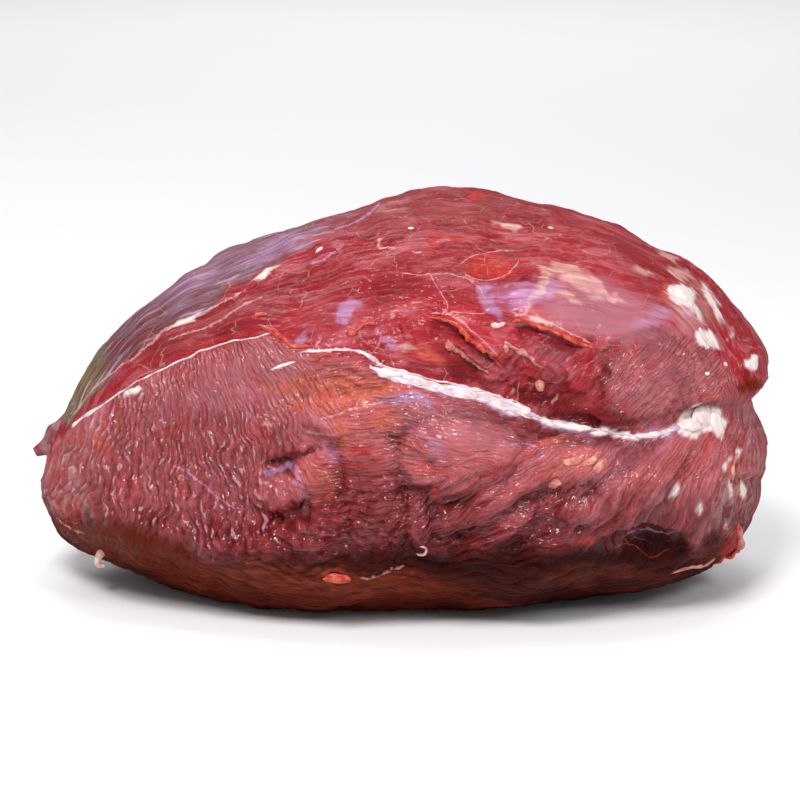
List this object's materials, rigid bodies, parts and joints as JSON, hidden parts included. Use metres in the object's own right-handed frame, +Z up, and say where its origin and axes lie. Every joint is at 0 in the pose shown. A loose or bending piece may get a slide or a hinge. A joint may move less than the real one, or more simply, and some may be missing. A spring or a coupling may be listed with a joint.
{
  "type": "raw beef joint",
  "caption": "Boneless raw beef joint: a long domed piece of two muscles with a seam of fat, a flat cut face and torn flaps, resting on a flat underside.",
  "frame": {"origin": "under the middle of the joint, on the surface that it rests on", "axes": "+X to the right along its length, +Y to the back, +Z up; the cut face of the lower muscle is at -Y"},
  "size_m": [0.2629, 0.1749, 0.142],
  "materials": {
    "raw_beef": "moist"
  },
  "bodies": {
    "root": {"beef_joint": "raw_beef"}
  },
  "joints": []
}
